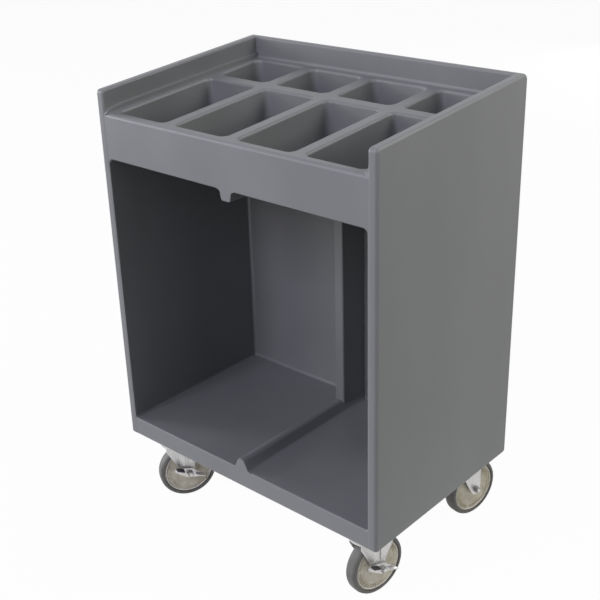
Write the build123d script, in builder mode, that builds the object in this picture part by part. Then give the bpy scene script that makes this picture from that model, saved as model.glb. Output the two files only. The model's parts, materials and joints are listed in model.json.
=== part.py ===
from build123d import *
import os
from math import cos, radians, sin, tan

# A tray and cutlery cart: one hollow-moulded polyethylene body with eight cutlery
# pockets over two tray bays, standing on four swivel casters.
# Millimetres. +Z is up, the open side of the tray bays faces -Y, and the origin is on
# the floor, midway between the body's front and the rearmost point of the rear wheels.

os.makedirs("parts", exist_ok=True)

# Moulded body, overall
body_width = 816.0
body_depth = 535.0
front_height = 919.0
rim_rise = 43.0
caster_height = 184.0

# Side walls stand a trifle proud of the apron and the sill between them
side_wall = 23.0
front_set_back = 0.5
outer_edge_radius = 7.0
inner_edge_radius = 5.0
bottom_corner_radius = 9.0
front_top_radius = 9.0
rear_top_radius = 13.0

# Deck inside the rim, parallel to the rim's sloping top
rear_rim_wall = 22.5
rear_rim_edge_radius = 5.0
deck_drop = 54.0
deck_cove_radius = 8.0
deck_nose_radius = 9.0

# Cutlery pockets, measured where they meet the deck
pocket_columns = 4
pocket_rib = 33.0
side_ledge = 21.5
rear_pocket_length = 141.0
pocket_row_gap = 36.0
front_ledge = 24.0
rear_ledge = 15.5
pocket_depth = 96.0
pocket_draft = 3.5
pocket_corner_radius = 9.0
pocket_floor_chamfer = 6.0
pocket_edge_radius = 7.0

# Tray bays
bay_floor_height = 52.0
bay_ceiling = 15.0
bay_depth = 458.0
bay_rear_radius = 8.0
bay_front_radius = 4.0
bay_front_lift = 0.1
bay_floor_radius = 6.0
bay_top_radius = 14.0

# Divider between the bays: a ridge on the floor, one under the ceiling, and a rear fin
ridge_height = 28.0
ridge_base_width = 43.0
ridge_top_width = 17.0
ridge_crown_radius = 11.0
ceiling_ridge_height = 24.0
ceiling_ridge_base = 35.0
ceiling_ridge_tip = 26.0
ceiling_ridge_round = 6.0
ridge_cove_radius = 8.0
fin_front_width = 29.0
fin_rear_width = 35.0
fin_depth = 85.0
fin_round = 5.0
root_depth = 12.0

# Casters
caster_inset_left = 104.0
caster_inset_right = 75.0
caster_inset_end = 66.0
front_left_yaw = -27.7
front_right_yaw = -11.0
rear_yaw = -11.0
caster_lead = 20.0

wheel_radius = 76.2
wheel_width = 31.75
tread_shoulder = 3.0
core_radius = 65.5
core_band = 6.0
core_web = 24.0
core_face_relief = 1.2
hub_radius = 18.0
hub_slope = 3.0
hub_end_gap = 0.8

bush_wall = 4.0
running_gap = 0.05
axle_radius = 4.75
axle_hole_gap = 0.2

fork_sheet = 3.0
fork_side_gap = 3.5
fork_tip_radius = 16.0
fork_top_reach = 57.0
fork_shoulder_rise = 72.0
leg_rib_width = 16.0
leg_rib_height = 2.0
leg_rib_ahead = 16.0
leg_rib_rise = 22.0
leg_rib_taper = 30.0
crown_radius = 46.0
crown_sheet = 4.0
crown_drop = 12.0
crown_skirt_height = 8.0
crown_skirt_wall = 3.0

plate_length = 114.0
plate_width = 102.0
plate_sheet = 5.0
plate_corner_radius = 9.0
bolt_spacing_long = 92.0
bolt_spacing_short = 66.7
slot_travel = 6.0
upper_race_inner = 22.0
upper_race_outer = 40.0
upper_race_height = 3.0
race_gap = 0.4
ball_ring_radius = 32.0
ball_ring_width = 7.0
king_pin_radius = 8.0
king_head_radius = 15.0
king_head_height = 4.0
king_head_chamfer = 1.5

# Screws, nuts and inserts
bolt_radius = 4.75
bolt_hole_gap = 0.6
bolt_length = 24.0
hex_across_flats = 14.3
bolt_head_height = 6.0
nut_height = 8.0
thread_stand_out = 3.0
insert_radius = 10.0
insert_length = 22.0

# Side brakes of the two front casters
lever_boss_radius = 10.0
lever_boss_length = 4.0
lever_gap = 0.3
lever_sheet = 2.5
lever_tilt = 22.0
lever_hub_radius = 14.0
lever_end_radius = 6.0
lock_arm_length = 38.0
release_arm_length = 31.0
tread_tab_length = 24.0
tread_tab_width = 18.0
pad_thickness = 4.0
pad_inset = 1.5
pad_chamfer = 1.0
bracket_sheet = 2.0
bracket_reach = 36.0
bracket_rise = 66.0
bracket_lip = 10.0
bracket_foot_rise = 22.0

# How far the trailing rear wheels stand out behind the body sets the origin
rear_reach = (
    (caster_lead + wheel_radius) * cos(radians(rear_yaw))
    + (wheel_width / 2 - tread_shoulder) * sin(radians(abs(rear_yaw)))
)
rear_overhang = rear_reach - caster_inset_end
front_y = -(body_depth + rear_overhang) / 2
rear_y = front_y + body_depth
base_z = caster_height
rim_slope = rim_rise / body_depth


def rim_z(y):
    """Height of the sloping top of the rim at depth y."""
    return base_z + front_height + rim_slope * (y - front_y)


def deck_z(y):
    """Height of the sloping deck at depth y."""
    return rim_z(y) - deck_drop


def is_on_deck(face):
    """True for a face that lies in the plane of the deck."""
    return all(abs(corner.Z - deck_z(corner.Y)) < 0.01 for corner in face.vertices())


apron_y = front_y + front_set_back
inner_half_width = body_width / 2 - side_wall
deck_rear_y = rear_y - rear_rim_wall

# The pockets share out what the ledges, ribs and gap leave of the deck
pocket_width = (2 * (inner_half_width - side_ledge) - (pocket_columns - 1) * pocket_rib) / pocket_columns
pocket_pitch = pocket_width + pocket_rib
rear_row_y = deck_rear_y - rear_ledge - rear_pocket_length / 2
front_row_end = deck_rear_y - rear_ledge - rear_pocket_length - pocket_row_gap
front_pocket_length = front_row_end - front_y - front_ledge
front_row_y = front_row_end - front_pocket_length / 2
pocket_floor_z = deck_z(front_y + front_ledge) - pocket_depth

bay_floor_z = base_z + bay_floor_height
bay_top_z = pocket_floor_z - bay_ceiling
bay_rear_y = front_y + bay_depth

casters = {
    "front_left": (-body_width / 2 + caster_inset_left, front_y + caster_inset_end, front_left_yaw),
    "front_right": (body_width / 2 - caster_inset_right, front_y + caster_inset_end, front_right_yaw),
    "rear_left": (-body_width / 2 + caster_inset_left, rear_y - caster_inset_end, rear_yaw),
    "rear_right": (body_width / 2 - caster_inset_right, rear_y - caster_inset_end, rear_yaw),
}
pin_points = [(x, y) for x, y, yaw in casters.values()]
bolt_corners = [
    (x + sx * bolt_spacing_long / 2, y + sy * bolt_spacing_short / 2)
    for x, y in pin_points
    for sx in (-1, 1)
    for sy in (-1, 1)
]

# The tray bays' space, with rounded corners
with BuildPart() as bay_space:
    with BuildSketch(Plane.XZ.offset(-bay_rear_y)):
        with Locations((0, (bay_floor_z + bay_top_z) / 2)):
            Rectangle(2 * inner_half_width, bay_top_z - bay_floor_z)
    extrude(amount=bay_depth + root_depth)
    long_edges = bay_space.edges().filter_by(Axis.Y).group_by(Axis.Z)
    fillet(long_edges[0], radius=bay_floor_radius)
    fillet(long_edges[-1], radius=bay_top_radius)
    fillet(bay_space.faces().sort_by(Axis.Y)[-1].edges(), radius=bay_rear_radius)

# What the rounded sill and the rounded lower edge of the apron leave out. The round's
# centre is lifted a little, so that it meets the faces at a slight angle
with BuildPart() as mouth_rounding:
    for level, corner_radius, up in ((bay_floor_z, bay_floor_radius, 1), (bay_top_z, bay_top_radius, -1)):
        side_z = level + up * (corner_radius + bay_front_radius)
        with BuildLine(Plane.XZ.offset(-apron_y)):
            FilletPolyline(
                (-inner_half_width, side_z),
                (-inner_half_width, level),
                (inner_half_width, level),
                (inner_half_width, side_z),
                radius=corner_radius,
            )
        path_start = Plane(origin=(-inner_half_width, apron_y, side_z), x_dir=(0, 1, 0), z_dir=(0, 0, -up))
        with BuildSketch(path_start):
            Rectangle(2 * bay_front_radius, 2 * bay_front_radius)
            centre_in = bay_front_radius - bay_front_lift
            with Locations((centre_in, -up * centre_in)):
                Circle(bay_front_radius, mode=Mode.SUBTRACT)
            with Locations((0, up * bay_front_radius)):
                Rectangle(2 * bay_front_radius, bay_front_radius, mode=Mode.SUBTRACT)
        sweep()
    with BuildSketch(Plane.XY.offset(base_z)):
        with Locations((0, apron_y)):
            Rectangle(2 * inner_half_width, 4 * bay_front_radius)
    extrude(amount=front_height, mode=Mode.INTERSECT)

# Coves that run down the deck's two sides and round over at its nose
with BuildPart() as deck_coves:
    for side in (-1, 1):
        cove_y = deck_rear_y + root_depth
        cove_start = Vector(side * inner_half_width, cove_y, deck_z(cove_y))
        cove_run = Vector(0, -1, -rim_slope) * side
        with BuildSketch(Plane(origin=cove_start, x_dir=(-side, 0, 0), z_dir=cove_run)):
            with Locations((-root_depth, -root_depth)):
                Rectangle(
                    root_depth + deck_cove_radius, root_depth + deck_cove_radius, align=(Align.MIN, Align.MIN)
                )
            with Locations((deck_cove_radius, deck_cove_radius)):
                Circle(deck_cove_radius, mode=Mode.SUBTRACT)
        extrude(amount=side * (body_depth + root_depth))
    with BuildSketch(Plane.YZ):
        with BuildLine():
            FilletPolyline(
                (apron_y, base_z),
                (rear_y, base_z),
                (rear_y, rim_z(rear_y)),
                (apron_y, deck_z(apron_y) + deck_cove_radius),
                radius=(0, 0, 0, deck_nose_radius + deck_cove_radius),
                close=True,
            )
        make_face()
    extrude(amount=body_width, both=True, mode=Mode.INTERSECT)

# Cutlery pockets' space, widening from a chamfered floor to the mouth
with BuildPart() as pocket_space:
    with BuildSketch(Plane.XY.offset(pocket_floor_z)):
        for row_y, length in ((front_row_y, front_pocket_length), (rear_row_y, rear_pocket_length)):
            draft_in = 2 * (deck_z(row_y) - pocket_floor_z) * tan(radians(pocket_draft))
            with Locations((0, row_y)):
                with GridLocations(pocket_pitch, pocket_pitch, pocket_columns, 1):
                    RectangleRounded(pocket_width - draft_in, length - draft_in, pocket_corner_radius)
    extrude(amount=rim_z(rear_y) - pocket_floor_z, taper=-pocket_draft)
    chamfer(pocket_space.edges().group_by(Axis.Z)[0], length=pocket_floor_chamfer)

# One-piece moulded body
with BuildPart() as cart_body:
    # The two side walls, each rounded along both of its faces
    for x in (-body_width / 2, inner_half_width):
        with BuildSketch(Plane.YZ.offset(x)):
            with BuildLine():
                FilletPolyline(
                    (front_y, base_z),
                    (rear_y, base_z),
                    (rear_y, rim_z(rear_y)),
                    (front_y, rim_z(front_y)),
                    radius=(bottom_corner_radius, bottom_corner_radius, rear_top_radius, front_top_radius),
                    close=True,
                )
            make_face()
        extrude(amount=side_wall)
    for x, radius in ((body_width / 2, outer_edge_radius), (inner_half_width, inner_edge_radius)):
        wall_faces = cart_body.faces().filter_by(lambda f: abs(abs(f.center().X) - x) < 0.01)
        fillet(wall_faces.edges(), radius=radius)

    # Base, back, rear rim, deck and apron in one section between the side walls
    with BuildSketch(Plane.YZ):
        with BuildLine():
            FilletPolyline(
                (apron_y, base_z),
                (rear_y, base_z),
                (rear_y, rim_z(rear_y)),
                (deck_rear_y, rim_z(deck_rear_y)),
                (deck_rear_y, deck_z(deck_rear_y)),
                (apron_y, deck_z(apron_y)),
                radius=(
                    bottom_corner_radius,
                    bottom_corner_radius,
                    rear_top_radius,
                    rear_rim_edge_radius,
                    deck_cove_radius,
                    deck_nose_radius,
                ),
                close=True,
            )
        make_face()
    extrude(amount=inner_half_width + side_wall / 2, both=True)
    add(deck_coves.part)

    # The tray bays, with a softened edge along the sill and the apron
    add(bay_space.part, mode=Mode.SUBTRACT)
    add(mouth_rounding.part, mode=Mode.SUBTRACT)

    # Floor and ceiling ridges, with coves along their feet, and the rear fin
    for level, up, height, base_width, end_width, end_round in (
        (bay_floor_z, 1, ridge_height, ridge_base_width, ridge_top_width, ridge_crown_radius),
        (bay_top_z, -1, ceiling_ridge_height, ceiling_ridge_base, ceiling_ridge_tip, ceiling_ridge_round),
    ):
        root = level - up * root_depth
        half_foot = base_width / 2 + ridge_cove_radius
        with BuildSketch(Plane.XZ.offset(-apron_y)):
            with BuildLine():
                FilletPolyline(
                    (-half_foot, root),
                    (-half_foot, level),
                    (-base_width / 2, level),
                    (-end_width / 2, level + up * height),
                    (end_width / 2, level + up * height),
                    (base_width / 2, level),
                    (half_foot, level),
                    (half_foot, root),
                    radius=(0, 0, ridge_cove_radius, end_round, end_round, ridge_cove_radius, 0, 0),
                    close=True,
                )
            make_face()
        extrude(amount=-(bay_rear_y - apron_y + root_depth))
    with BuildSketch(Plane.XY.offset(bay_floor_z - root_depth)):
        with BuildLine():
            FilletPolyline(
                (-fin_rear_width / 2, bay_rear_y + root_depth),
                (-fin_front_width / 2, bay_rear_y - fin_depth),
                (fin_front_width / 2, bay_rear_y - fin_depth),
                (fin_rear_width / 2, bay_rear_y + root_depth),
                radius=(0, fin_round, fin_round, 0),
                close=True,
            )
        make_face()
    extrude(amount=bay_top_z - bay_floor_z + 2 * root_depth)

    # Cutlery pockets, with rounded mouths
    add(pocket_space.part, mode=Mode.SUBTRACT)
    deck_face = cart_body.faces().filter_by(is_on_deck).sort_by(SortBy.AREA)[-1]
    mouth_edges = [edge for mouth in deck_face.inner_wires() for edge in mouth.edges()]
    fillet(mouth_edges, radius=pocket_edge_radius)

    # Blind seats for the moulded-in inserts
    with BuildSketch(Plane.XY.offset(base_z)):
        with Locations(*bolt_corners):
            RegularPolygon(insert_radius, 6)
    extrude(amount=insert_length, mode=Mode.SUBTRACT)

# Heights and spans shared by the caster pieces, each modelled about the swivel axis
# with the wheel trailing along +Y and the axle along X
plate_z = base_z - plate_sheet
crown_z = plate_z - crown_drop
crown_base_z = crown_z - crown_sheet
axle_z = wheel_radius
leg_inner = wheel_width / 2 + fork_side_gap
leg_outer = leg_inner + fork_sheet
hub_half = leg_inner - hub_end_gap
bush_radius = axle_radius + running_gap + bush_wall
axle_plane = Plane(origin=(0, caster_lead, axle_z), x_dir=(1, 0, 0), z_dir=(0, -1, 0))
axle_axis = Axis((0, caster_lead, axle_z), (1, 0, 0))
axle_face = Plane(origin=(0, caster_lead, axle_z), x_dir=(0, 1, 0), z_dir=(1, 0, 0))
slot_width = 2 * (bolt_radius + bolt_hole_gap)
hex_radius = hex_across_flats / 2 / cos(radians(30))

# Where the brake parts stack up on the axle outside the fork's leg
lever_inner = leg_outer + lever_gap + lever_boss_length
lever_outer = lever_inner + lever_sheet
brake_nut_seat = lever_outer + lever_gap
lever_plane = Plane(
    origin=(lever_inner, caster_lead, axle_z),
    x_dir=(0, cos(radians(lever_tilt)), -sin(radians(lever_tilt))),
    z_dir=(1, 0, 0),
)

with BuildPart() as caster_plates:
    with BuildSketch(Plane.XY.offset(plate_z)):
        with Locations(*pin_points):
            RectangleRounded(plate_length, plate_width, plate_corner_radius)
            Circle(king_pin_radius, mode=Mode.SUBTRACT)
        with Locations(*bolt_corners):
            SlotCenterToCenter(slot_travel, slot_width, mode=Mode.SUBTRACT)
    extrude(amount=plate_sheet)
    with BuildSketch(Plane.XY.offset(plate_z)):
        with Locations(*pin_points):
            Circle(upper_race_outer)
            Circle(upper_race_inner, mode=Mode.SUBTRACT)
    extrude(amount=-upper_race_height)

# Riveted pins that carry the forks
with BuildPart() as king_pins:
    head_z = crown_base_z - race_gap - king_head_height
    with BuildSketch(Plane.XY.offset(head_z)):
        with Locations(*pin_points):
            Circle(king_head_radius)
    extrude(amount=king_head_height)
    chamfer(king_pins.edges().group_by(Axis.Z)[0], length=king_head_chamfer)
    with BuildSketch(Plane.XY.offset(head_z + king_head_height)):
        with Locations(*pin_points):
            Circle(king_pin_radius)
    extrude(amount=base_z - head_z - king_head_height)

# The swivels' caged ball rows, as plain rings seated under the plates' races
with BuildPart() as ball_rings:
    with BuildSketch(Plane.XY.offset(plate_z - upper_race_height)):
        with Locations(*pin_points):
            Circle(ball_ring_radius + ball_ring_width / 2)
            Circle(ball_ring_radius - ball_ring_width / 2, mode=Mode.SUBTRACT)
    extrude(amount=-(crown_drop - upper_race_height - race_gap))

with BuildPart() as fork:
    with BuildSketch(Plane.XY.offset(crown_base_z)):
        Circle(crown_radius)
    extrude(amount=crown_sheet + crown_skirt_height)
    with BuildSketch(Plane.XY.offset(crown_z)):
        Circle(crown_radius - crown_skirt_wall)
    extrude(amount=crown_skirt_height, mode=Mode.SUBTRACT)
    for side in (-1, 1):
        # One leg: a plate narrowing from the crown to a round end at the axle
        with BuildSketch(axle_face.offset(side * leg_inner)):
            Circle(fork_tip_radius)
            with BuildLine():
                Line((-fork_top_reach, fork_shoulder_rise), (-fork_top_reach, crown_base_z - axle_z))
                Line((fork_tip_radius, 0), (fork_tip_radius, crown_base_z - axle_z))
            make_hull()
        extrude(amount=side * fork_sheet)
        # Pressed stiffening rib down the leg's outer face
        rib_length = crown_base_z - axle_z - leg_rib_rise
        with BuildSketch(axle_face.offset(side * leg_outer)):
            with Locations((-leg_rib_ahead, leg_rib_rise + rib_length / 2)):
                Rectangle(leg_rib_width, rib_length)
        extrude(amount=side * leg_rib_height, taper=leg_rib_taper)
    with BuildSketch(axle_face.offset(-leg_outer)):
        Circle(axle_radius + axle_hole_gap)
    extrude(amount=2 * leg_outer, mode=Mode.SUBTRACT)
    with BuildSketch(Plane.XY.offset(crown_base_z)):
        Circle(king_pin_radius + running_gap)
    extrude(amount=crown_sheet, mode=Mode.SUBTRACT)

with BuildPart() as tread:
    with BuildSketch(axle_plane):
        with Locations((0, (core_radius + wheel_radius) / 2)):
            Rectangle(wheel_width, wheel_radius - core_radius)
        outer_corners = vertices().group_by(Axis.Y)[-1]
        chamfer(outer_corners, length=tread_shoulder)
    revolve(axis=axle_axis)

# Moulded wheel centre: hub, web and the band under the tread
with BuildPart() as wheel_core:
    band_half = wheel_width / 2 - core_face_relief
    with BuildSketch(axle_plane):
        with BuildLine():
            Polyline(
                (0, bush_radius + running_gap),
                (hub_half, bush_radius + running_gap),
                (hub_half, hub_radius - hub_slope),
                (core_web / 2, hub_radius + hub_slope),
                (core_web / 2, core_radius - core_band),
                (band_half, core_radius - core_band),
                (band_half, core_radius),
                (0, core_radius),
                close=True,
            )
        make_face()
        mirror(about=Plane.YZ)
    revolve(axis=axle_axis)

with BuildPart() as axle_bush:
    with BuildSketch(axle_face.offset(-leg_inner)):
        Circle(bush_radius)
        Circle(axle_radius + running_gap, mode=Mode.SUBTRACT)
    extrude(amount=2 * leg_inner)


def make_axle_bolt(nut_seat):
    """Axle bolt with its head on the inner side and its thread out past the nut."""
    with BuildPart() as bolt:
        with BuildSketch(axle_face.offset(-leg_outer - bolt_head_height)):
            RegularPolygon(hex_radius, 6)
        extrude(amount=bolt_head_height)
        with BuildSketch(axle_face.offset(-leg_outer)):
            Circle(axle_radius)
        extrude(amount=leg_outer + nut_seat + nut_height + thread_stand_out)
    return bolt


def make_axle_nut(nut_seat):
    """Hexagon nut against the given seat on the axle."""
    with BuildPart() as nut:
        with BuildSketch(axle_face.offset(nut_seat)):
            RegularPolygon(hex_radius, 6)
            Circle(axle_radius, mode=Mode.SUBTRACT)
        extrude(amount=nut_height)
    return nut


# Side brake: a rocking foot lever on the axle and a bracket welded to the leg
with BuildPart() as brake_lever:
    with BuildSketch(lever_plane):
        Circle(lever_hub_radius)
        with Locations((-lock_arm_length, 0), (release_arm_length, 0)):
            Circle(lever_end_radius)
        make_hull()
        Circle(axle_radius + running_gap, mode=Mode.SUBTRACT)
    extrude(amount=lever_sheet)
    with BuildSketch(lever_plane):
        Circle(lever_boss_radius)
        Circle(axle_radius + running_gap, mode=Mode.SUBTRACT)
    extrude(amount=-lever_boss_length)
    # Foot tabs, bent outward along the lever's upper edge
    for tip in (-lock_arm_length, release_arm_length):
        tab_middle = tip - (tread_tab_length / 2 - lever_end_radius) * (1 if tip > 0 else -1)
        with BuildSketch(lever_plane):
            with Locations((tab_middle, lever_end_radius - lever_sheet / 2)):
                Rectangle(tread_tab_length, lever_sheet)
        extrude(amount=tread_tab_width)

with BuildPart() as pedal_pad:
    with BuildSketch(lever_plane.offset(lever_sheet + pad_inset)):
        with Locations((-lock_arm_length + tread_tab_length / 2 - lever_end_radius, lever_end_radius)):
            Rectangle(tread_tab_length - 2 * pad_inset, pad_thickness, align=(Align.CENTER, Align.MIN))
    extrude(amount=tread_tab_width - lever_sheet - 2 * pad_inset)
    chamfer(pedal_pad.edges().filter_by(Axis.X), length=pad_chamfer)

with BuildPart() as brake_bracket:
    with BuildSketch(axle_face.offset(leg_outer)):
        with BuildLine():
            Polyline(
                (0, bracket_foot_rise),
                (fork_tip_radius, bracket_foot_rise),
                (bracket_reach, bracket_rise - bracket_lip),
                (bracket_reach, bracket_rise),
                (0, bracket_rise),
                close=True,
            )
        make_face()
    extrude(amount=bracket_sheet)


def write_piece(shape, name):
    """Label one finished piece and write its file."""
    shape.label = name
    export_step(shape, f"parts/{name}.step")


turning_pieces = {"fork": fork, "tread": tread, "wheel_core": wheel_core, "axle_bush": axle_bush}
brake_pieces = {"brake_lever": brake_lever, "pedal_pad": pedal_pad, "brake_bracket": brake_bracket}
for corner, (x, y, yaw) in casters.items():
    braked = corner.startswith("front")
    nut_seat = brake_nut_seat if braked else leg_outer
    pieces = dict(turning_pieces, axle_bolt=make_axle_bolt(nut_seat), axle_nut=make_axle_nut(nut_seat))
    if braked:
        pieces.update(brake_pieces)
    for name, piece in pieces.items():
        write_piece(piece.part.moved(Location((x, y, 0), (0, 0, yaw))), f"{name}_{corner}")

# Screws and moulded-in inserts that hold the plates to the body
with BuildPart() as caster_bolts:
    with BuildSketch(Plane.XY.offset(plate_z - bolt_head_height)):
        with Locations(*bolt_corners):
            RegularPolygon(hex_radius, 6)
    extrude(amount=bolt_head_height)
    with BuildSketch(Plane.XY.offset(plate_z)):
        with Locations(*bolt_corners):
            Circle(bolt_radius)
    extrude(amount=bolt_length)

with BuildPart() as threaded_inserts:
    with BuildSketch(Plane.XY.offset(base_z)):
        with Locations(*bolt_corners):
            RegularPolygon(insert_radius, 6)
            Circle(bolt_radius, mode=Mode.SUBTRACT)
    extrude(amount=insert_length)

write_piece(cart_body.part, "cart_body")
write_piece(caster_plates.part, "caster_plates")
write_piece(king_pins.part, "king_pins")
write_piece(ball_rings.part, "ball_rings")
write_piece(caster_bolts.part, "caster_bolts")
write_piece(threaded_inserts.part, "threaded_inserts")
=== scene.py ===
import bpy
import bmesh
from math import atan2, pi, radians
from mathutils import Matrix, Vector
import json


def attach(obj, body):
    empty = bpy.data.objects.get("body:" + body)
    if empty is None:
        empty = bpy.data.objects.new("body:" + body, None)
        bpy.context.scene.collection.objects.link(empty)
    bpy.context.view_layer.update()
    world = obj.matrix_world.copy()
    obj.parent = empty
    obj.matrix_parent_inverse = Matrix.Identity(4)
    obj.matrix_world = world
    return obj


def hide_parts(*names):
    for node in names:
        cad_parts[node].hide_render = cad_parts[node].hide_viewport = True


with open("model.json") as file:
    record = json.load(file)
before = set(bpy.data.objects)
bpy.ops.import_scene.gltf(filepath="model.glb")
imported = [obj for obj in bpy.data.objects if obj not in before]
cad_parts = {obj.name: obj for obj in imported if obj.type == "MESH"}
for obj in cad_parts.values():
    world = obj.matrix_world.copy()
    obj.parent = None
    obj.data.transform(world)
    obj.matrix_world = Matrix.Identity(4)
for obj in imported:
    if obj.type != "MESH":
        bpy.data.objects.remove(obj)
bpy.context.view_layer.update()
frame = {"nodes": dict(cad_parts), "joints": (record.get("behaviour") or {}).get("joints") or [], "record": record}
nodes = frame["nodes"]
joints = {joint["name"]: joint for joint in frame["joints"]}
bodies = frame["record"]["behaviour"]["bodies"]
body_of_node = {node: body for body, members in bodies.items() for node in members}
corners = ("front_left", "front_right", "rear_left", "rear_right")
braked_corners = ("front_left", "front_right")

# Sizes the finer pieces share with the casters, in metres
axle_height = 0.0762  # also the wheel's radius
caster_lead = 0.02
wheel_half_width = 0.015875
core_radius = 0.065
web_half = 0.012
hub_half = 0.018575
bush_radius = 0.0088
axle_radius = 0.00475
leg_outer = 0.022375
brake_nut_seat = 0.029475
nut_height = 0.008
lever_inner = 0.026675
lever_tilt = radians(22.0)
race_z = 0.176
ball_row_radius = 0.032

smooth_up_to = radians(38.0)  # a piece's edges that turn by more look sharp
lamp_aim = Vector((0.0, 0.0, 0.6))  # the cart's middle


# Finishes

def start_finish(name, colour, roughness, metallic=0.0):
    """A new material with its shader's plain values set; returns it with its nodes and shader."""
    finish = bpy.data.materials.new(name)
    finish.use_nodes = True
    tree = finish.node_tree
    shader = tree.nodes["Principled BSDF"]
    shader.inputs["Base Color"].default_value = (*colour, 1.0)
    shader.inputs["Roughness"].default_value = roughness
    shader.inputs["Metallic"].default_value = metallic
    return finish, tree, shader


def add_noise(tree, scale, detail, stretch=(1.0, 1.0, 1.0)):
    """Noise over the piece's own coordinates, in metres."""
    place = tree.nodes.new("ShaderNodeTexCoord")
    turn = tree.nodes.new("ShaderNodeMapping")
    turn.inputs["Scale"].default_value = stretch
    noise = tree.nodes.new("ShaderNodeTexNoise")
    noise.inputs["Scale"].default_value = scale
    noise.inputs["Detail"].default_value = detail
    tree.links.new(place.outputs["Object"], turn.inputs["Vector"])
    tree.links.new(turn.outputs["Vector"], noise.inputs["Vector"])
    return noise.outputs["Fac"]


def add_range(tree, source, low, high, start=0.3, end=0.7):
    """The source's middle values spread between two numbers."""
    spread = tree.nodes.new("ShaderNodeMapRange")
    spread.inputs["From Min"].default_value = start
    spread.inputs["From Max"].default_value = end
    spread.inputs["To Min"].default_value = low
    spread.inputs["To Max"].default_value = high
    tree.links.new(source, spread.inputs["Value"])
    return spread.outputs["Result"]


def add_sum(tree, source, share, other):
    """A share of one source added to another."""
    total = tree.nodes.new("ShaderNodeMath")
    total.operation = "MULTIPLY_ADD"
    total.inputs[1].default_value = share
    tree.links.new(source, total.inputs[0])
    tree.links.new(other, total.inputs[2])
    return total.outputs[0]


def add_maximum(tree, first, second):
    """The larger of two sources."""
    larger = tree.nodes.new("ShaderNodeMath")
    larger.operation = "MAXIMUM"
    tree.links.new(first, larger.inputs[0])
    tree.links.new(second, larger.inputs[1])
    return larger.outputs[0]


def vary_colour(tree, shader, source, dark, light):
    """Colour between two shades, by the source."""
    shades = tree.nodes.new("ShaderNodeMix")
    shades.data_type = "RGBA"
    shades.inputs[6].default_value = (*dark, 1.0)
    shades.inputs[7].default_value = (*light, 1.0)
    tree.links.new(source, shades.inputs[0])
    tree.links.new(shades.outputs[2], shader.inputs["Base Color"])


def add_bump(tree, shader, source, depth, strength):
    """Relief of the given depth, in metres."""
    bump = tree.nodes.new("ShaderNodeBump")
    bump.inputs["Distance"].default_value = depth
    bump.inputs["Strength"].default_value = strength
    tree.links.new(source, bump.inputs["Height"])
    tree.links.new(bump.outputs["Normal"], shader.inputs["Normal"])


def round_edges(tree, shader, radius):
    """Shades the edges as if they were rounded, under the relief that the shader already has."""
    bevel = tree.nodes.new("ShaderNodeBevel")
    bevel.samples = 6
    bevel.inputs["Radius"].default_value = radius
    relief = shader.inputs["Normal"].links[0].from_node
    tree.links.new(bevel.outputs["Normal"], relief.inputs["Normal"])


def moulded_polyethylene():
    """Grey rotational moulding: faint clouds, a fine pebbled grain and a soft sheen."""
    finish, tree, shader = start_finish("moulded_polyethylene", (0.2, 0.203, 0.21), 0.42)
    clouds = add_noise(tree, 7.0, detail=4.0)
    flow = add_noise(tree, 4.0, detail=3.0, stretch=(1.0, 1.0, 0.35))
    grain = add_noise(tree, 900.0, detail=2.0)
    pebbles = add_noise(tree, 260.0, detail=2.0)
    ripple = add_noise(tree, 22.0, detail=1.0)
    shade = add_sum(tree, clouds, 0.5, add_sum(tree, grain, 0.3, flow))
    dark, light = (0.188, 0.19, 0.197), (0.212, 0.215, 0.221)
    vary_colour(tree, shader, add_range(tree, shade, 0.0, 1.0, 0.7, 1.1), dark, light)
    tree.links.new(add_range(tree, clouds, 0.36, 0.46), shader.inputs["Roughness"])
    relief = add_sum(tree, grain, 0.2, add_sum(tree, pebbles, 0.35, ripple))
    add_bump(tree, shader, relief, 0.0004, 0.45)
    round_edges(tree, shader, 0.003)
    return finish


def zinc_plated_steel():
    """Bright zinc over pressed steel, clouded, with fine scratches."""
    finish, tree, shader = start_finish("zinc_plated_steel", (0.75, 0.75, 0.74), 0.4, metallic=0.75)
    clouds = add_noise(tree, 420.0, detail=4.0)
    scratches = add_noise(tree, 900.0, detail=3.0, stretch=(1.0, 1.0, 0.08))
    shade = add_sum(tree, scratches, 0.4, clouds)
    dark, light = (0.5, 0.49, 0.485), (0.76, 0.75, 0.74)
    vary_colour(tree, shader, add_range(tree, shade, 0.0, 1.0, 0.5, 0.9), dark, light)
    tree.links.new(add_range(tree, clouds, 0.34, 0.46), shader.inputs["Roughness"])
    add_bump(tree, shader, scratches, 0.00006, 0.5)
    return finish


def grained(name, dark, light, roughness, scale, depth, metallic=0.0):
    """A fine grain over faint clouds, for rubber, small plastic parts and dull metal."""
    finish, tree, shader = start_finish(name, dark, roughness, metallic)
    grain = add_noise(tree, scale, detail=4.0)
    clouds = add_noise(tree, scale / 12, detail=3.0)
    shade = add_sum(tree, grain, 0.5, clouds)
    vary_colour(tree, shader, add_range(tree, shade, 0.0, 1.0, 0.55, 0.95), dark, light)
    tree.links.new(add_range(tree, grain, roughness - 0.06, roughness + 0.06), shader.inputs["Roughness"])
    add_bump(tree, shader, grain, depth, 0.6)
    return finish


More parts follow.
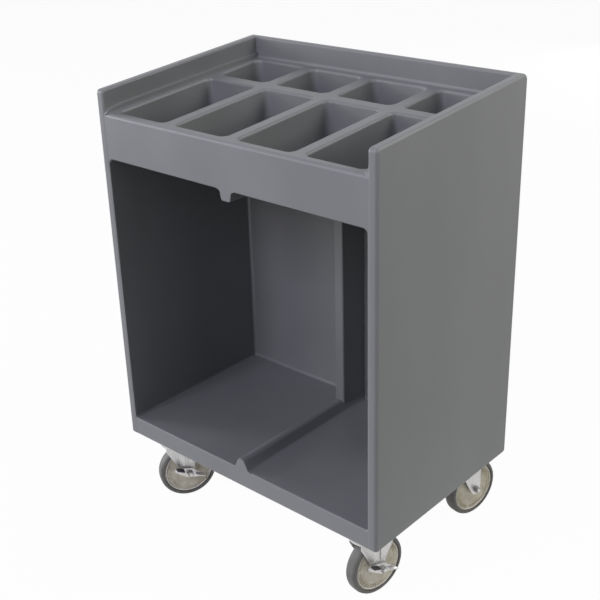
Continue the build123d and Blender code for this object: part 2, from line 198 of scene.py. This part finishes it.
finishes = {
    "body_plastic": moulded_polyethylene(),
    "zinc": zinc_plated_steel(),
    "insert_metal": grained(
        "insert_brass", (0.5, 0.38, 0.18), (0.6, 0.47, 0.24),
        roughness=0.4, scale=300.0, depth=0.0001,
    ),
    "tread_rubber": grained(
        "tread_rubber", (0.105, 0.102, 0.095), (0.15, 0.147, 0.138),
        roughness=0.6, scale=450.0, depth=0.0002,
    ),
    "wheel_plastic": grained(
        "wheel_centre_plastic", (0.48, 0.43, 0.32), (0.76, 0.72, 0.6),
        roughness=0.42, scale=480.0, depth=0.0001,
    ),
    # The rim band's pale colour is a painted highlight: it stands in for the light that the raised bead catches.
    "wheel_band": grained(
        "wheel_band_painted_highlight", (0.82, 0.79, 0.72), (0.93, 0.91, 0.86),
        roughness=0.34, scale=260.0, depth=0.0001,
    ),
    "pad_rubber": grained(
        "pad_rubber", (0.018, 0.018, 0.02), (0.03, 0.03, 0.032),
        roughness=0.6, scale=500.0, depth=0.0002,
    ),
    "steel_balls": grained(
        "steel_balls", (0.5, 0.5, 0.5), (0.62, 0.62, 0.62),
        roughness=0.2, scale=300.0, depth=0.00002, metallic=0.9,
    ),
    # Dark steel for the axle nuts and thread ends: partly the steel's own dark tone, partly a painted shadow for
    # the shade at the axle's end.
    "dark_steel_with_painted_shadow": grained(
        "dark_steel_with_painted_shadow", (0.2, 0.195, 0.19), (0.34, 0.335, 0.33),
        roughness=0.42, scale=400.0, depth=0.00004, metallic=0.9,
    ),
}
slots = {entry["node"]: entry["material_slot"] for entry in frame["record"]["subparts"]}
for name, slot in slots.items():
    nodes[name].data.materials.clear()
    nodes[name].data.materials.append(finishes[slot])


# Making and placing the finer pieces

def caster_place(corner):
    """Where one caster stands: turns a piece made about the swivel axis, wheel trailing along +Y."""
    pin = joints["swivel_" + corner]["pos_m"]
    axle = joints["wheel_" + corner]["axis"]
    return Matrix.Translation((pin[0], pin[1], 0.0)) @ Matrix.Rotation(atan2(axle[1], axle[0]), 4, "Z")


on_axle = Matrix.Translation((0.0, caster_lead, axle_height))
on_lever = on_axle @ Matrix.Translation((lever_inner, 0.0, 0.0)) @ Matrix.Rotation(-lever_tilt, 4, "X")


def both_sides(one_side):
    """A ring's whole outline, from the points on one side of the wheel's middle."""
    return [(-along, radius) for along, radius in one_side] + list(reversed(one_side))


def turn_ring(shape, outline, steps=96):
    """Turns a closed outline of (along, radius) points once about the X axis."""
    rim = [shape.verts.new((along, radius, 0.0)) for along, radius in outline]
    edges = [shape.edges.new(pair) for pair in zip(rim, rim[1:] + rim[:1])]
    bmesh.ops.spin(
        shape, geom=rim + edges, cent=(0, 0, 0), axis=(1, 0, 0), angle=2 * pi, steps=steps,
        use_merge=True,
    )
    bmesh.ops.remove_doubles(shape, verts=shape.verts[:], dist=1e-7)
    bmesh.ops.recalc_face_normals(shape, faces=shape.faces[:])


def soften(shape, width, segments=2, sharpest=radians(30.0), only=None):
    """Rounds the edges that turn by more than an angle."""
    edges = [
        edge for edge in shape.edges
        if len(edge.link_faces) == 2
        and edge.calc_face_angle(0.0) > sharpest
        and (only is None or only(edge))
    ]
    bmesh.ops.bevel(
        shape, geom=edges, offset=width, offset_type="OFFSET", segments=segments, profile=0.5,
        affect="EDGES", clamp_overlap=True, material=-1,
    )


def add_block(shape, size, place):
    """A block of the given size, put where the matrix says."""
    made = bmesh.ops.create_cube(shape, size=1.0)["verts"]
    bmesh.ops.scale(shape, verts=made, vec=size)
    bmesh.ops.transform(shape, verts=made, matrix=place)


def merge_into(shape, other):
    """Adds a second shape to the first and frees it."""
    joined = bpy.data.meshes.new("joined")
    other.to_mesh(joined)
    other.free()
    shape.from_mesh(joined)
    bpy.data.meshes.remove(joined)


def finish_piece(shape, name, finish, body, place=None, stands_for=()):
    """Moves a finished shape to its place, makes it an object and lets it ride on its body."""
    if place is not None:
        bmesh.ops.transform(shape, verts=shape.verts[:], matrix=place)
    mesh = bpy.data.meshes.new(name)
    shape.to_mesh(mesh)
    shape.free()
    mesh.polygons.foreach_set("use_smooth", [True] * len(mesh.polygons))
    mesh.set_sharp_from_angle(angle=smooth_up_to)
    mesh.materials.append(finish)
    piece = bpy.data.objects.new(name, mesh)
    bpy.context.collection.objects.link(piece)
    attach(piece, body)
    if stands_for:
        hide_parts(*stands_for)


def soften_copy(node, width, finish=None):
    """The node's own shape with rounded edges, in its place."""
    shape = bmesh.new()
    shape.from_mesh(nodes[node].data)
    bmesh.ops.remove_doubles(shape, verts=shape.verts[:], dist=2e-6)
    bmesh.ops.dissolve_limit(
        shape, angle_limit=radians(1.0), verts=shape.verts[:], edges=shape.edges[:],
        use_dissolve_boundaries=False,
    )
    soften(shape, width)
    finish_piece(
        shape, node + "_rounded", finishes[finish or slots[node]], body_of_node[node],
        stands_for=(node,),
    )


# Wheels

def make_tread(corner):
    """Rubber tyre with rounded shoulders and a small lip where it meets the wheel centre."""
    half, outer = wheel_half_width, axle_height
    shoulder, shoulder_cut = 0.0072, 0.0022
    lip_width, lip_height = 0.0032, 0.0022
    shape = bmesh.new()
    turn_ring(shape, both_sides([
        (half - lip_width, core_radius),
        (half - 0.0006, core_radius + 0.001),
        (half, core_radius + lip_height),
        (half, outer - shoulder),
        (half - shoulder_cut, outer - shoulder_cut),
        (half - shoulder, outer),
    ]))
    shoulder_foot = outer - shoulder - 0.0004
    soften(shape, 0.0022, 4, radians(15.0), lambda edge: edge.verts[0].co.yz.length > shoulder_foot)
    finish_piece(
        shape, "tyre_" + corner, finishes["tread_rubber"], "wheel_" + corner,
        caster_place(corner) @ on_axle, ("tread_" + corner,),
    )


def make_wheel_centre(corner):
    """Dished plastic centre: a stepped hub, a web with a ring of fine ribs, and the rim band's groove."""
    groove_floor = web_half - 0.0010
    shape = bmesh.new()
    turn_ring(shape, both_sides([
        (hub_half, bush_radius + 0.00005),
        (hub_half, 0.0145),
        (0.0172, 0.0155),
        (0.0166, 0.0185),
        (web_half + 0.0006, 0.0215),
        (web_half, 0.0245),
        (web_half + 0.0004, 0.0520),
        (web_half + 0.0008, 0.0580),
        (groove_floor, 0.0586),
        (groove_floor, 0.0634),
        (web_half, 0.0638),
        (web_half, core_radius),
    ]))
    soften(shape, 0.0004, 2, radians(25.0))
    rib_count, rib_circle, rib_middle = 60, 0.0540, web_half + 0.0009
    rib_size = (0.0024, 0.0080, 0.0017)
    for side in (-1, 1):
        for rib in range(rib_count):
            turn = Matrix.Rotation(2 * pi * rib / rib_count, 4, "X")
            add_block(shape, rib_size, turn @ Matrix.Translation((side * rib_middle, rib_circle, 0.0)))
    finish_piece(
        shape, "wheel_centre_" + corner, finishes["wheel_plastic"], "wheel_" + corner,
        caster_place(corner) @ on_axle, ("wheel_core_" + corner,),
    )


def make_wheel_band(corner):
    """The raised rim band on each side of a wheel centre, coloured pale as a painted highlight of the light its
    bead catches.
    """
    foot, crest, edge_drop = web_half - 0.0014, 0.0144, 0.0006
    shape = bmesh.new()
    for side in (-1, 1):
        turn_ring(shape, [
            (side * foot, 0.0596), (side * (crest - edge_drop), 0.0600), (side * crest, 0.0606),
            (side * crest, 0.0618), (side * (crest - edge_drop), 0.0624), (side * foot, 0.0628),
        ])
    # Pale finish here is a painted highlight on the band.
    finish_piece(
        shape, "wheel_band_" + corner, finishes["wheel_band"], "wheel_" + corner,
        caster_place(corner) @ on_axle,
    )


# Axles

def make_axle_end(corner):
    """Rolled thread on the axle bolt's end and a domed collar on the nut's outer side."""
    nut_end = (brake_nut_seat if corner in braked_corners else leg_outer) + nut_height
    pitch, ridge_count = 0.001, 3
    crest, valley, core = axle_radius + 0.00025, axle_radius - 0.0002, axle_radius - 0.0006
    shape = bmesh.new()
    thread = [(nut_end - pitch, core)]
    for ridge in range(ridge_count):
        start = nut_end + ridge * pitch
        thread += [(start, valley), (start + pitch / 2, crest)]
    thread.append((nut_end + 0.0029, core))
    turn_ring(shape, thread, 48)
    turn_ring(shape, [
        (nut_end - 0.0004, axle_radius + 0.0001), (nut_end + 0.0007, axle_radius + 0.0003),
        (nut_end + 0.0005, axle_radius + 0.0012), (nut_end - 0.0004, axle_radius + 0.0018),
    ], 48)
    # The thread's dark steel is partly a painted shadow at the axle's end.
    finish_piece(
        shape, "axle_thread_" + corner, finishes["dark_steel_with_painted_shadow"], "swivel_" + corner,
        caster_place(corner) @ on_axle,
    )


# Swivels

def make_ball_rows():
    """The caged ball row of each swivel, under the plate's race."""
    ball_count, ball_radius, ball_drop = 22, 0.0036, 0.0043
    cage_half_height, cage_half_width = 0.0012, 0.0030
    shape = bmesh.new()
    for corner in corners:
        place = caster_place(corner) @ Matrix.Translation((0.0, 0.0, race_z - ball_drop))
        for ball in range(ball_count):
            turn = Matrix.Rotation(2 * pi * ball / ball_count, 4, "Z")
            made = bmesh.ops.create_icosphere(shape, subdivisions=2, radius=ball_radius)["verts"]
            bmesh.ops.transform(
                shape, verts=made, matrix=place @ turn @ Matrix.Translation((ball_row_radius, 0.0, 0.0))
            )
        cage = bmesh.new()
        turn_ring(cage, [
            (-cage_half_height, ball_row_radius - cage_half_width),
            (cage_half_height, ball_row_radius - cage_half_width),
            (cage_half_height, ball_row_radius + cage_half_width),
            (-cage_half_height, ball_row_radius + cage_half_width),
        ], 72)
        bmesh.ops.transform(cage, verts=cage.verts[:], matrix=place @ Matrix.Rotation(pi / 2, 4, "Y"))
        merge_into(shape, cage)
    finish_piece(shape, "ball_rows", finishes["steel_balls"], "cart", None, ("ball_rings",))


# Brakes

def make_pedal_grip(corner):
    """Rounded rubber pad with grip ribs across it, on the lever's lock tab."""
    middle = Vector((0.01025, -0.032, 0.008))
    rib_count, rib_pitch, rib_rise = 6, 0.0031, 0.0022
    shape = bmesh.new()
    add_block(shape, (0.0125, 0.021, 0.004), Matrix.Translation(middle))
    soften(shape, 0.001, 3)
    for rib in range(rib_count):
        along = (rib - (rib_count - 1) / 2) * rib_pitch
        place = Matrix.Translation(middle + Vector((0.0, along, rib_rise)))
        block = bmesh.new()
        add_block(block, (0.0105, 0.0014, 0.0012), place)
        soften(block, 0.0004, 2)
        merge_into(shape, block)
    node = "pedal_pad_" + corner
    finish_piece(
        shape, "pedal_grip_" + corner, finishes["pad_rubber"], body_of_node[node],
        caster_place(corner) @ on_lever, (node,),
    )


for corner in corners:
    make_tread(corner)
    make_wheel_centre(corner)
    make_wheel_band(corner)
    make_axle_end(corner)
    soften_copy(f"fork_{corner}", 0.0008)
    soften_copy(f"axle_bolt_{corner}", 0.0006)
    # The nut's dark steel is partly a painted shadow at the axle's end.
    soften_copy(f"axle_nut_{corner}", 0.0006, finish="dark_steel_with_painted_shadow")
for corner in braked_corners:
    make_pedal_grip(corner)
    for part in ("brake_lever", "brake_bracket"):
        soften_copy(f"{part}_{corner}", 0.0005)
make_ball_rows()
for part, width in (("caster_plates", 0.0008), ("king_pins", 0.0006), ("caster_bolts", 0.0007)):
    soften_copy(part, width)


# Floor, light and camera

floor_glow = 0.965
floor_bounce_near = 0.85
floor_bounce_far = 0.12
floor_near = 0.45
floor_far = 1.1
floor_white = (0.95, 0.95, 0.95)
shade_of_sky = (0.004, 0.007, 0.018)


def add_seen(tree):
    """1 for the rays that the camera and reflections send out, 0 for the rays that carry light."""
    rays = tree.nodes.new("ShaderNodeLightPath")
    return add_maximum(tree, rays.outputs["Is Camera Ray"], rays.outputs["Is Glossy Ray"])


def pale_floor():
    """White to the camera and in reflections; only the floor near the cart throws light back on it."""
    finish, tree, shader = start_finish("pale_floor", floor_white, 0.9)
    shader.inputs["Specular IOR Level"].default_value = 0.0
    seen = add_seen(tree)
    place = tree.nodes.new("ShaderNodeTexCoord")
    reach = tree.nodes.new("ShaderNodeVectorMath")
    reach.operation = "LENGTH"
    tree.links.new(place.outputs["Object"], reach.inputs[0])
    bounce = add_range(
        tree, reach.outputs["Value"], floor_bounce_near, floor_bounce_far, floor_near, floor_far
    )
    vary_colour(tree, shader, add_maximum(tree, seen, bounce), (0.0, 0.0, 0.0), floor_white)
    white = tree.nodes.new("ShaderNodeEmission")
    share = tree.nodes.new("ShaderNodeMath")
    share.operation = "MULTIPLY"
    share.inputs[1].default_value = floor_glow
    mix = tree.nodes.new("ShaderNodeMixShader")
    tree.links.new(seen, share.inputs[0])
    tree.links.new(share.outputs[0], mix.inputs[0])
    tree.links.new(shader.outputs[0], mix.inputs[1])
    tree.links.new(white.outputs[0], mix.inputs[2])
    tree.links.new(mix.outputs[0], tree.nodes["Material Output"].inputs["Surface"])
    return finish


bpy.ops.mesh.primitive_plane_add(size=30.0)
floor = bpy.context.object
floor.name = "floor"
floor.data.materials.append(pale_floor())

world = bpy.data.worlds.new("studio")
bpy.context.scene.world = world
world.use_nodes = True
sky = world.node_tree
shades = sky.nodes.new("ShaderNodeMix")
shades.data_type = "RGBA"
shades.inputs[6].default_value = (*shade_of_sky, 1.0)
shades.inputs[7].default_value = (1.0, 1.0, 1.0, 1.0)
sky.links.new(add_seen(sky), shades.inputs[0])
sky.links.new(shades.outputs[2], sky.nodes["Background"].inputs["Color"])


def add_lamp(name, place, size, power, colour):
    """A soft square studio lamp that faces the cart's middle."""
    lamp = bpy.data.lights.new(name, "AREA")
    lamp.size = size
    lamp.energy = power
    lamp.color = colour
    holder = bpy.data.objects.new(name, lamp)
    holder.location = place
    holder.rotation_euler = (lamp_aim - Vector(place)).to_track_quat("-Z", "Y").to_euler()
    bpy.context.collection.objects.link(holder)


add_lamp("front_lamp", (-0.4, -5.8, 2.9), 2.0, 47.0, (1.0, 0.97, 0.85))
add_lamp("front_high_lamp", (-0.4, -4.8, 3.9), 2.2, 150.0, (0.79, 0.81, 1.0))
add_lamp("front_left_lamp", (-3.0, -5.2, 2.4), 2.0, 40.0, (0.95, 1.0, 0.8))
add_lamp("left_lamp", (-6.0, -2.4, 1.7), 2.0, 235.0, (0.94, 0.92, 1.0))
add_lamp("right_lamp", (3.6, -0.4, 1.6), 2.0, 20.0, (1.0, 0.99, 0.95))
add_lamp("right_high_lamp", (1.8, 0.9, 2.3), 1.5, 28.0, (1.0, 1.0, 0.94))
add_lamp("top_lamp", (0.0, 0.0, 3.6), 2.2, 6.0, (0.85, 0.86, 1.0))
add_lamp("rear_lamp", (-1.0, 6.0, 1.1), 2.0, 95.0, (1.0, 1.0, 1.0))

camera = bpy.data.cameras.new("camera")
camera.sensor_width = 36.0
camera.lens = 63.972
camera_holder = bpy.data.objects.new("camera", camera)
camera_holder.location = (1.5625, -1.78968, 1.66995)
camera_holder.rotation_euler = (radians(65.4051), radians(1.5393), radians(41.2905))
bpy.context.collection.objects.link(camera_holder)
bpy.context.scene.camera = camera_holder
bpy.context.scene.view_settings.view_transform = "Standard"
